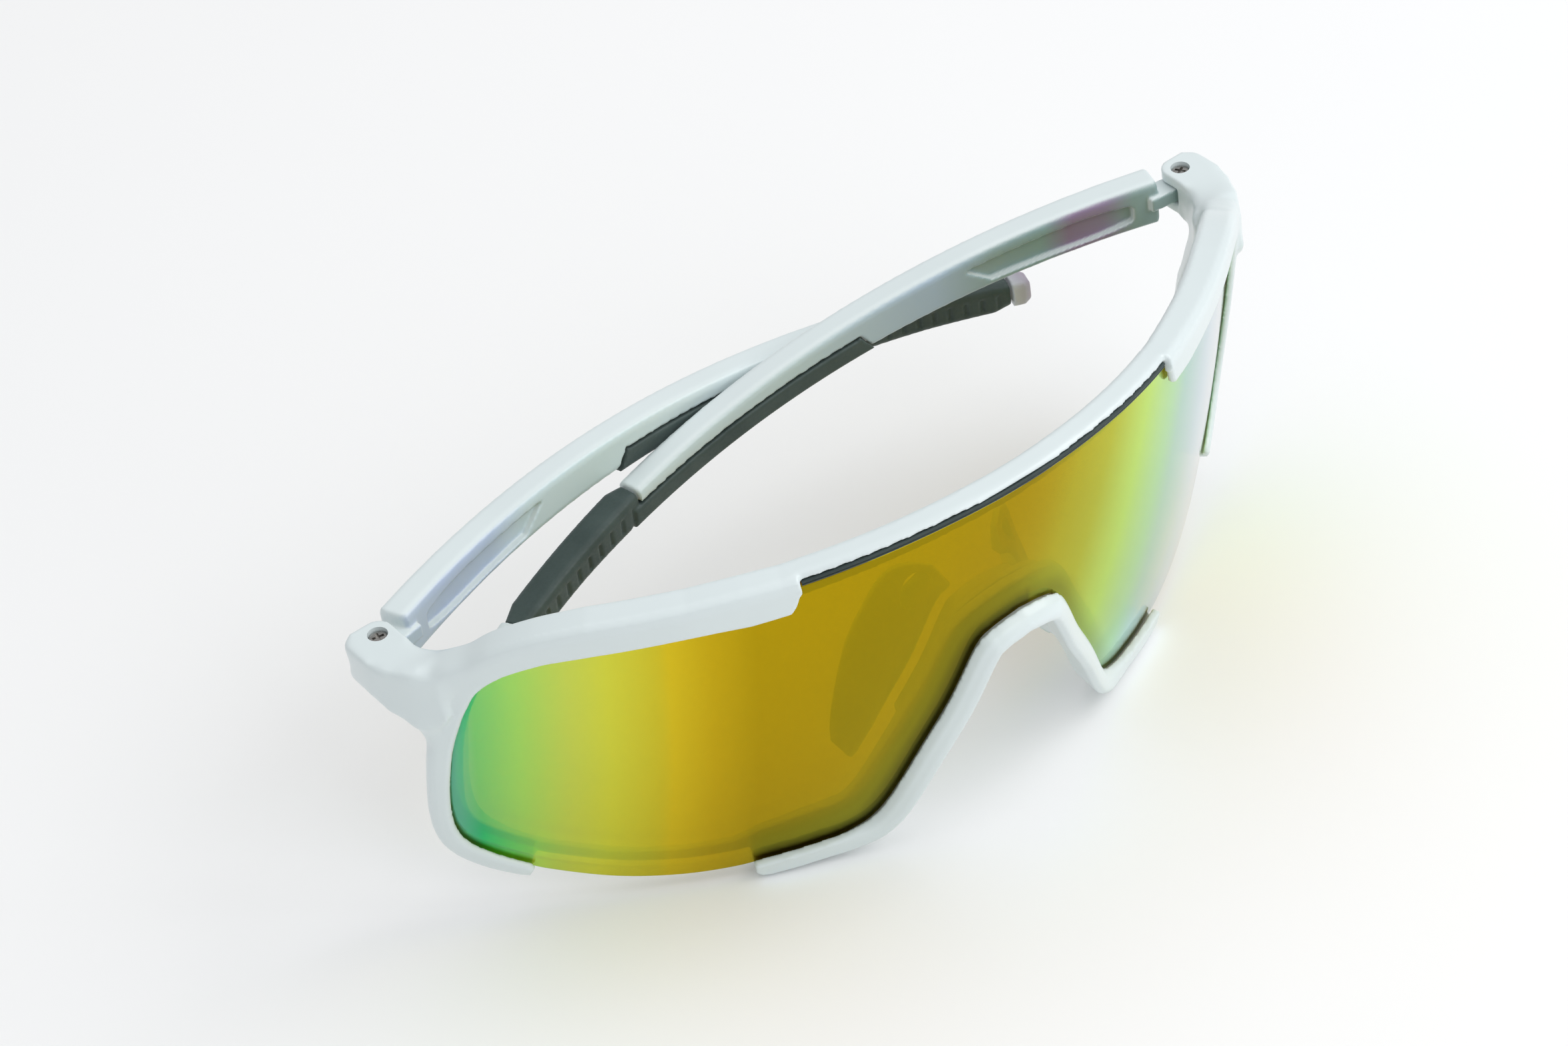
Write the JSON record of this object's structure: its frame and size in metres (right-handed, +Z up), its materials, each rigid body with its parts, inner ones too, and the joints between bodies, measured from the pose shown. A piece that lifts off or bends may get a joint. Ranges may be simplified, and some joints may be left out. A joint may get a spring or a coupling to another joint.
{
  "type": "wraparound sport sunglasses",
  "caption": "Wraparound sport sunglasses: one-piece mirrored shield lens in a white frame open below, nose carrier with soft pads, and folding temples with ribbed rubber grips.",
  "frame": {"origin": "middle of the bounding box in X and Y, at its lowest point in Z, temples folded", "axes": "+X to the wearer's left, -Y the way the lens faces, +Z up along the hinge axes"},
  "size_m": [0.145, 0.0694, 0.0607],
  "materials": {
    "white_plastic": "satin moulded nylon, cool white",
    "mirror_lens": "tinted polycarbonate with a gold-green multilayer mirror coating",
    "grip_rubber": "matt moulded rubber, dark grey-green",
    "pad_silicone": "soft matt silicone, pale grey-green",
    "screw_steel": "turned, satin",
    "insert_brass": "turned"
  },
  "bodies": {
    "front": {"front_frame": "white_plastic", "lens": "mirror_lens", "brow_gasket": "grip_rubber", "nose_carrier": "white_plastic", "nose_pad_left": "pad_silicone", "nose_pad_right": "pad_silicone", "hinge_screw_left": "screw_steel", "hinge_screw_right": "screw_steel", "hinge_insert_left": "insert_brass", "hinge_insert_right": "insert_brass"},
    "temple_left": {"temple_arm_left": "white_plastic", "temple_grip_left": "grip_rubber"},
    "temple_right": {"temple_arm_right": "white_plastic", "temple_grip_right": "grip_rubber"}
  },
  "joints": [
    {"name": "left_hinge", "type": "hinge", "parent": "front", "child": "temple_left", "pos_m": [0.068, 0.01311, 0.0445], "axis": [0, 0, -1], "range_deg": [0, 83]},
    {"name": "right_hinge", "type": "hinge", "parent": "front", "child": "temple_right", "pos_m": [-0.068, 0.01311, 0.0445], "axis": [0, 0, 1], "range_deg": [0, 78.2]}
  ]
}
